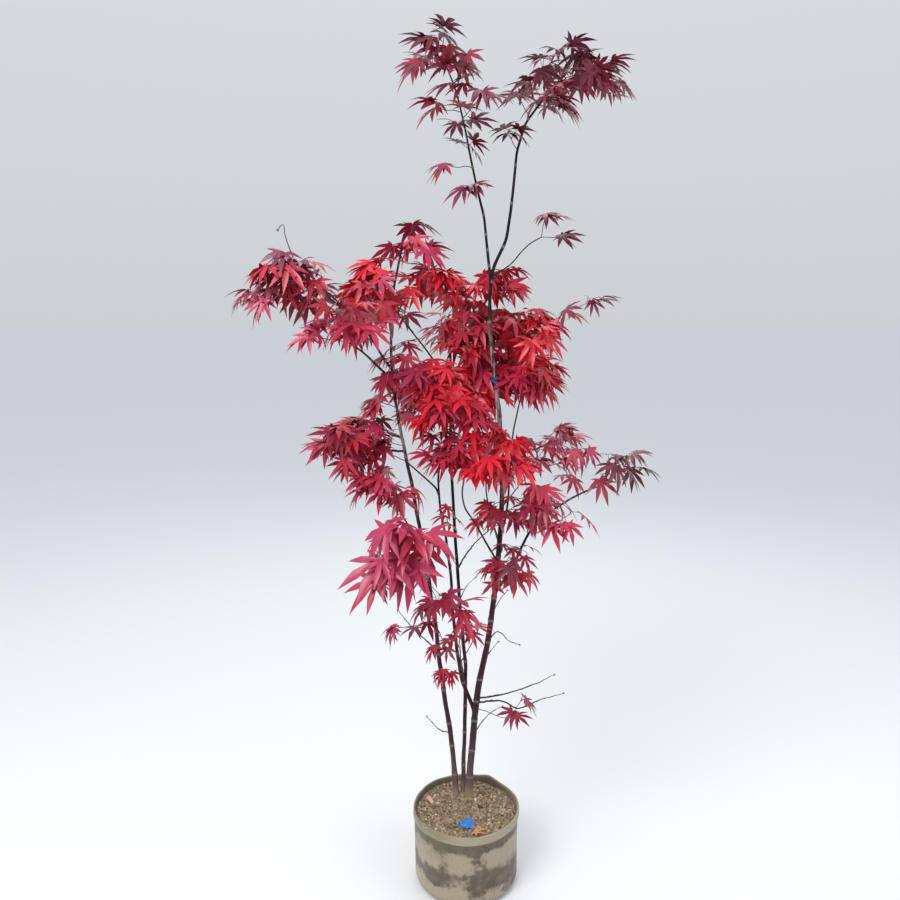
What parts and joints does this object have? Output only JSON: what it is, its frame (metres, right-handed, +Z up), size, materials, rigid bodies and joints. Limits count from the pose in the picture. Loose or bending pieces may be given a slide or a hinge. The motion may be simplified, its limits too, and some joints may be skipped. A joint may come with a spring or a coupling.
{
  "type": "potted japanese maple tree",
  "caption": "Young multi-stemmed Japanese maple in red autumn leaf, rising from a soil-filled round felt growing bag that stands on its flat underside.",
  "frame": {"origin": "centre of the growing bag's flat underside", "axes": "+Z up along the tree, X to the right and Y away from its front view"},
  "size_m": [1.0305, 0.7458, 2.0988],
  "materials": {
    "felt": "matte",
    "soil": "matte",
    "root_bark": "matte",
    "bark": "satin",
    "dark_bark": "satin",
    "leaf_scarlet": "matte",
    "leaf_dark": "matte",
    "leaf_rose": "matte"
  },
  "bodies": {
    "root": {"bag": "felt", "bough_centre": "bark", "bough_cross": "bark", "bough_elbow": "bark", "bough_left_high": "bark", "bough_left_low": "bark", "bough_left_mid": "bark", "bough_left_under": "bark", "bough_near": "bark", "bough_right": "bark", "bough_right_upright": "bark", "bough_wisp": "bark", "crown_left_lower": "leaf_dark", "crown_left_upper": "leaf_dark", "crown_right_lower": "leaf_dark", "crown_right_tier": "leaf_dark", "crown_top_left": "leaf_dark", "crown_top_left_side": "leaf_dark", "crown_top_right": "leaf_dark", "heart_behind": "leaf_scarlet", "heart_behind_right": "leaf_scarlet", "heart_behind_top": "leaf_scarlet", "heart_left": "leaf_scarlet", "heart_low": "leaf_scarlet", "heart_low_right": "leaf_scarlet", "heart_middle": "leaf_scarlet", "heart_right": "leaf_scarlet", "heart_top": "leaf_scarlet", "heart_under": "leaf_scarlet", "heart_upper_left": "leaf_scarlet", "heart_upper_right": "leaf_scarlet", "leader_left": "bark", "left_behind": "leaf_scarlet", "left_far": "leaf_scarlet", "left_inner": "leaf_scarlet", "left_low": "leaf_scarlet", "left_peak": "leaf_scarlet", "left_shoulder": "leaf_scarlet", "left_stem_spray": "leaf_scarlet", "left_upper": "leaf_scarlet", "low_left": "leaf_rose", "low_near": "leaf_rose", "low_near_left": "leaf_rose", "low_right": "leaf_rose", "low_right_upper": "leaf_rose", "mid_left_inner": "leaf_scarlet", "mid_left_low": "leaf_scarlet", "mid_left_outer": "leaf_scarlet", "mid_right_behind": "leaf_scarlet", "mid_right_inner": "leaf_scarlet", "mid_right_outer": "leaf_scarlet", "mid_right_upper": "leaf_scarlet", "root_crown": "root_bark", "soil": "soil", "stem_back": "dark_bark", "stem_inner": "dark_bark", "stem_left": "bark", "stem_middle": "bark", "wisp_lower": "leaf_dark", "wisp_upper": "leaf_dark"}
  },
  "joints": []
}
